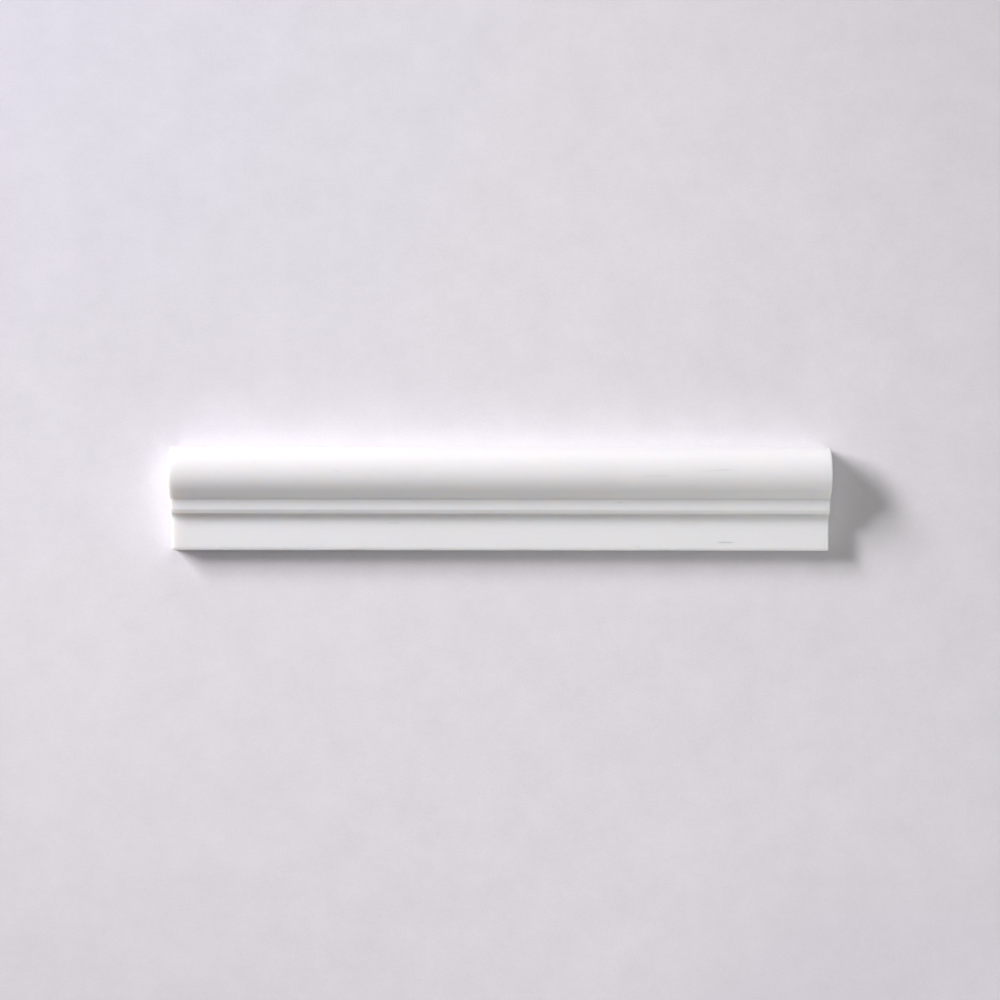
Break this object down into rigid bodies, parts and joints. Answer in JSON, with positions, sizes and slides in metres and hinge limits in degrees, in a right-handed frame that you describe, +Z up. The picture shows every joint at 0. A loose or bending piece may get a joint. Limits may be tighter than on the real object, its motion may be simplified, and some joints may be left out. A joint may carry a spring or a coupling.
{
  "type": "marble dado rail",
  "caption": "Straight length of white marble wall trim: a rounded projecting nose over a slope, a narrow shelf, a shallow hollow and a flat lower band, with a flat back.",
  "frame": {"origin": "middle of the flat back face, half way along the length and half way between the lower edge and the top face", "axes": "+X along the rail, +Y up the wall when fitted, +Z out of the wall; the rail is stored lying on its back, so +Z is up"},
  "size_m": [0.305, 0.048, 0.024],
  "materials": {
    "marble": "honed white marble with faint grey hairlines"
  },
  "bodies": {
    "root": {"dado_rail": "marble"}
  },
  "joints": []
}
